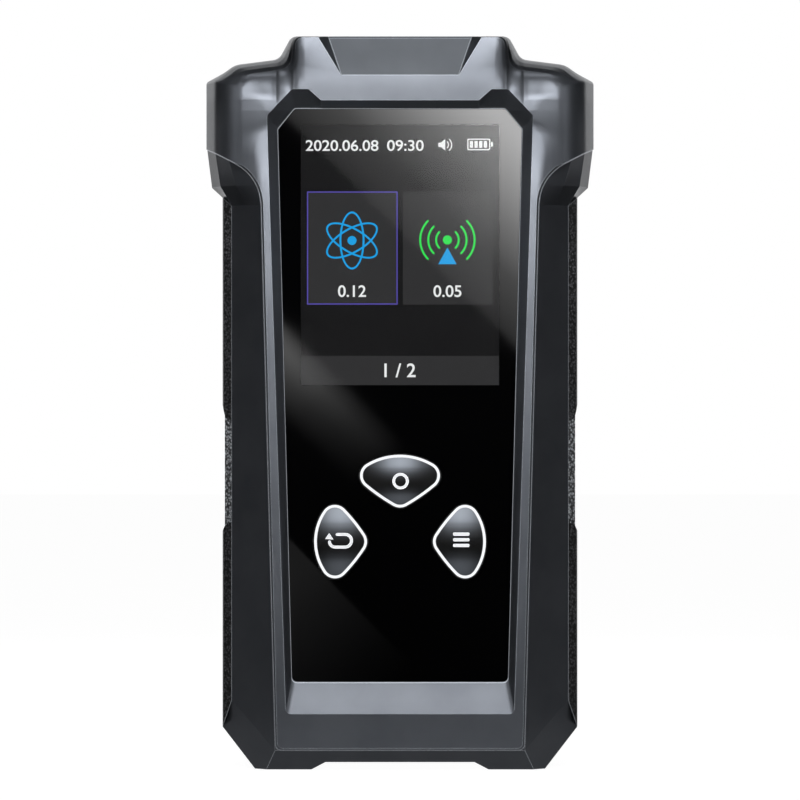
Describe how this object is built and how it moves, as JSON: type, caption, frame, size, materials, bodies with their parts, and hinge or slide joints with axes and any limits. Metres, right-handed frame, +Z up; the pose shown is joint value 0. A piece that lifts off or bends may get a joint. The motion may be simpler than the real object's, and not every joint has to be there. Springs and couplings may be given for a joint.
{
  "type": "geiger counter",
  "caption": "Hand-held radiation and field meter: broad sensor head, tapered grey bezel round a colour display, three shield-shaped keys and rubber side grips",
  "frame": {"origin": "on the ground under the middle of the upright meter", "axes": "+Z up along the length, the display faces -Y, +X to the reader's right"},
  "size_m": [0.0724, 0.03, 0.136],
  "materials": {
    "bezel_grey": "satin metallic grey paint over moulded plastic",
    "window_grey": "satin flat panel",
    "case_graphite": "fine satin texture",
    "seal_rubber": "matte",
    "grip_rubber": "coarse leather-like grain",
    "inlay_grey": "fine grain",
    "cover_glass": "gloss, printed black behind",
    "lcd_glass": "lit colour display",
    "white_plastic": "gloss",
    "flex_film": "amber film",
    "board_laminate": "green solder mask",
    "chip_black": "matte",
    "tin_plate": "bright tin",
    "tube_glass": "clear with a metal lining",
    "steel": "plated",
    "spring_bronze": "satin",
    "ferrite": "matte",
    "capacitor_blue": "gloss",
    "copper_wire": "enamelled copper",
    "cell_foil": "laminated foil",
    "foam": "matte foam",
    "lead_insulation": "satin",
    "key_black": "high gloss",
    "key_white": "gloss",
    "silicone": "translucent",
    "plunger_brown": "matte"
  },
  "bodies": {
    "housing": {"front_bezel": "bezel_grey", "sensor_window": "window_grey", "front_shell": "case_graphite", "rear_shell": "case_graphite", "case_seal": "seal_rubber", "right_grip": "grip_rubber", "left_grip": "grip_rubber", "right_grip_inlay": "inlay_grey", "left_grip_inlay": "inlay_grey", "display_window": "cover_glass", "display_gasket": "seal_rubber", "lcd_panel": "lcd_glass", "lcd_backlight": "white_plastic", "lcd_flex": "flex_film", "main_board": "board_laminate", "board_chips": "chip_black", "shield_can": "tin_plate", "gm_tube": "tube_glass", "tube_end_caps": "steel", "tube_clips": "spring_bronze", "hv_transformer": "ferrite", "hv_capacitors": "capacitor_blue", "sensor_board": "board_laminate", "field_coil_core": "ferrite", "field_coil_winding": "copper_wire", "battery_cell": "cell_foil", "battery_foam": "foam", "battery_connector": "white_plastic", "battery_leads": "lead_insulation", "speaker": "chip_black", "vibration_motor": "steel", "usb_socket": "steel", "case_screws": "steel", "board_screws": "steel", "ok_switch_body": "chip_black", "back_switch_body": "chip_black", "menu_switch_body": "chip_black"},
    "ok_key": {"ok_key_cap": "key_black", "ok_key_rim": "key_white", "ok_key_pusher": "silicone", "ok_switch_plunger": "plunger_brown"},
    "back_key": {"back_key_cap": "key_black", "back_key_rim": "key_white", "back_key_pusher": "silicone", "back_switch_plunger": "plunger_brown"},
    "menu_key": {"menu_key_cap": "key_black", "menu_key_rim": "key_white", "menu_key_pusher": "silicone", "menu_switch_plunger": "plunger_brown"}
  },
  "joints": [
    {"name": "ok_press", "type": "slide", "parent": "housing", "child": "ok_key", "axis": [0, 1, 0], "range_m": [0, 0.0004], "stiffness_N_per_m": 1500},
    {"name": "back_press", "type": "slide", "parent": "housing", "child": "back_key", "axis": [0, 1, 0], "range_m": [0, 0.0004], "stiffness_N_per_m": 1500},
    {"name": "menu_press", "type": "slide", "parent": "housing", "child": "menu_key", "axis": [0, 1, 0], "range_m": [0, 0.0004], "stiffness_N_per_m": 1500}
  ]
}
